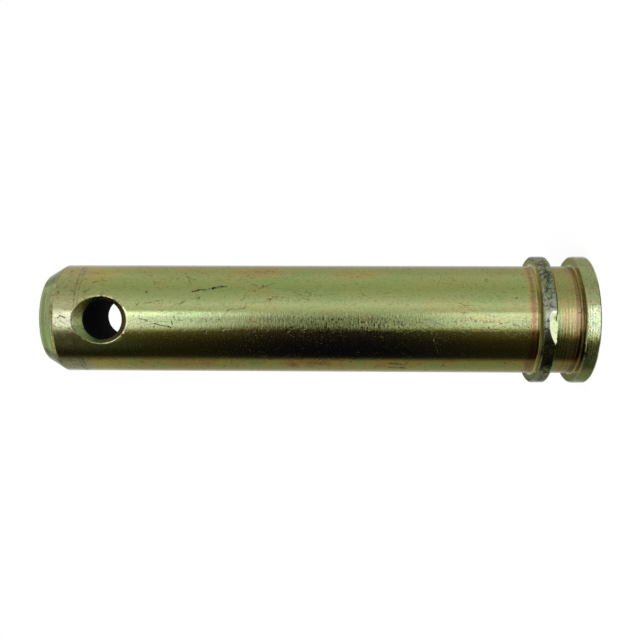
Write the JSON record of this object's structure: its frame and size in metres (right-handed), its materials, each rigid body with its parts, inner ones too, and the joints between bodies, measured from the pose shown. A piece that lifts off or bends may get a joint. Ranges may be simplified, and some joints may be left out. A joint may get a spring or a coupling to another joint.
{
  "type": "lower link pin",
  "caption": "Round steel pivot pin with a grooved, flanged head, a chamfered tip and a countersunk cross hole for a linchpin, used to hinge a tractor's lower link.",
  "frame": {"origin": "centre of the head's flat end face, which the pin stands on", "axes": "+Z along the pin's axis from the head to the chamfered tip; Y along the cross hole; X square to both"},
  "size_m": [0.033, 0.033, 0.14],
  "materials": {
    "plated_steel": "yellow-passivated zinc plate over turned steel, satin, with grind marks, small pits and dark scale on the collar's rim"
  },
  "bodies": {
    "root": {"link_pin": "plated_steel"}
  },
  "joints": []
}
